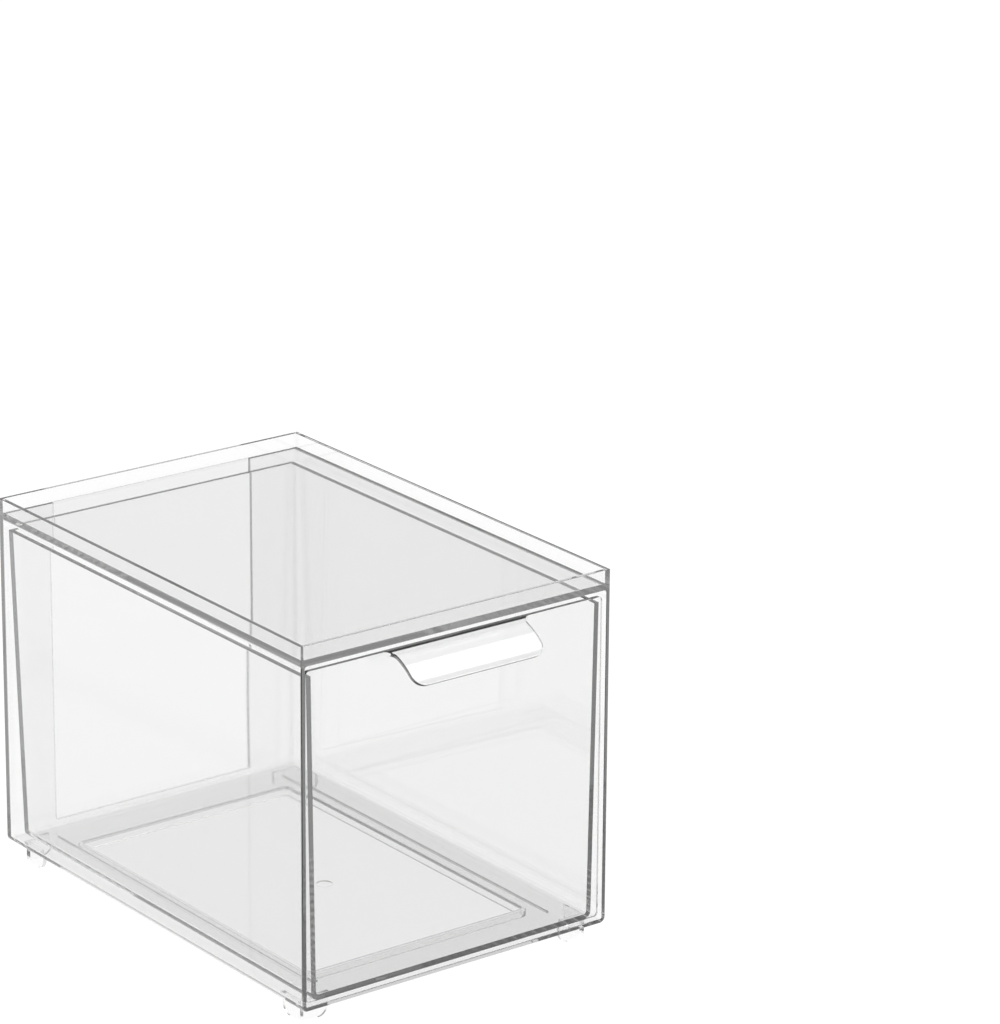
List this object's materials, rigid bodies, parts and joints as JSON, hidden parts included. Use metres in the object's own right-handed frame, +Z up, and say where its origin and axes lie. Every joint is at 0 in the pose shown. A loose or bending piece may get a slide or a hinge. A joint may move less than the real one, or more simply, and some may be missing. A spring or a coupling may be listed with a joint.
{
  "type": "stackable drawer box",
  "caption": "Clear stackable box with a raised top rim, corner feet and a clear pull-out drawer with a moulded lip pull.",
  "frame": {"origin": "under the middle of the whole outline, the pull included, on the surface that the feet stand on", "axes": "+X to the right along the front, +Y from the front to the back, +Z up; the drawer opens towards -Y"},
  "size_m": [0.2, 0.3084, 0.2137],
  "materials": {
    "clear_case": "clear injection-moulded plastic, polished",
    "clear_drawer": "clear injection-moulded plastic, polished"
  },
  "bodies": {
    "case": {"case": "clear_case"},
    "drawer": {"drawer": "clear_drawer"}
  },
  "joints": [
    {"name": "drawer_slide", "type": "slide", "parent": "case", "child": "drawer", "axis": [0, -1, 0], "range_m": [0, 0.23]}
  ]
}
